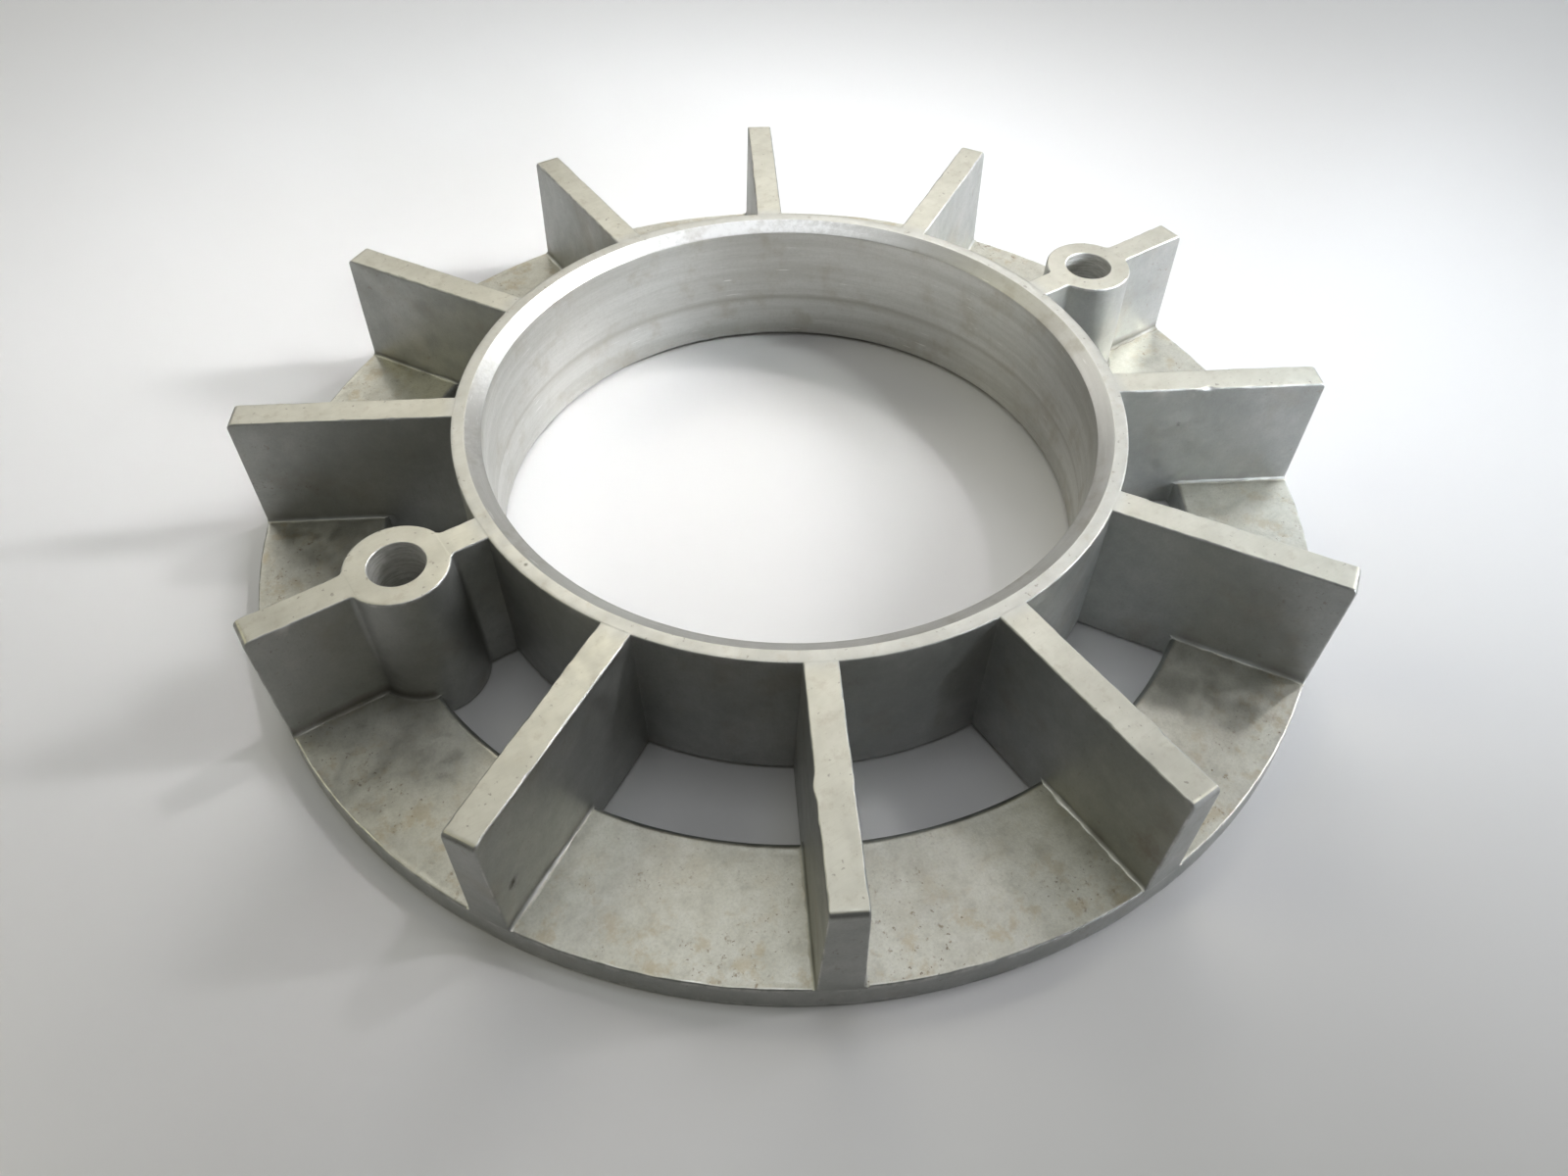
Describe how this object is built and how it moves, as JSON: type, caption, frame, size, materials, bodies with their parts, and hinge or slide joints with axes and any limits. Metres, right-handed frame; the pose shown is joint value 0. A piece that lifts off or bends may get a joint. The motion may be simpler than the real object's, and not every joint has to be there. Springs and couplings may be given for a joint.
{
  "type": "flywheel fan ring",
  "caption": "Cast-aluminium flywheel fan ring: bored hub, straight radial fins on a flat flange, open windows beside the hub, and screw bosses set into opposite fins.",
  "frame": {"origin": "on the bore axis, in the plane of the flange's underside", "axes": "+Z along the bore axis from the flange towards the fin tops; +X through one of the two screw bosses"},
  "size_m": [0.1524, 0.1524, 0.0218],
  "materials": {
    "cast_aluminium": "as cast, satin, with faces linished bright on top",
    "machined_aluminium": "turned, fine circumferential marks"
  },
  "bodies": {
    "root": {"flange_ring": "cast_aluminium", "hub_ring": "machined_aluminium", "screw_boss_1": "cast_aluminium", "screw_boss_2": "cast_aluminium", "boss_web_1": "cast_aluminium", "boss_web_2": "cast_aluminium", "fin_01": "cast_aluminium", "fin_02": "cast_aluminium", "fin_03": "cast_aluminium", "fin_04": "cast_aluminium", "fin_05": "cast_aluminium", "fin_06": "cast_aluminium", "fin_07": "cast_aluminium", "fin_08": "cast_aluminium", "fin_09": "cast_aluminium", "fin_10": "cast_aluminium", "fin_11": "cast_aluminium", "fin_12": "cast_aluminium"}
  },
  "joints": []
}
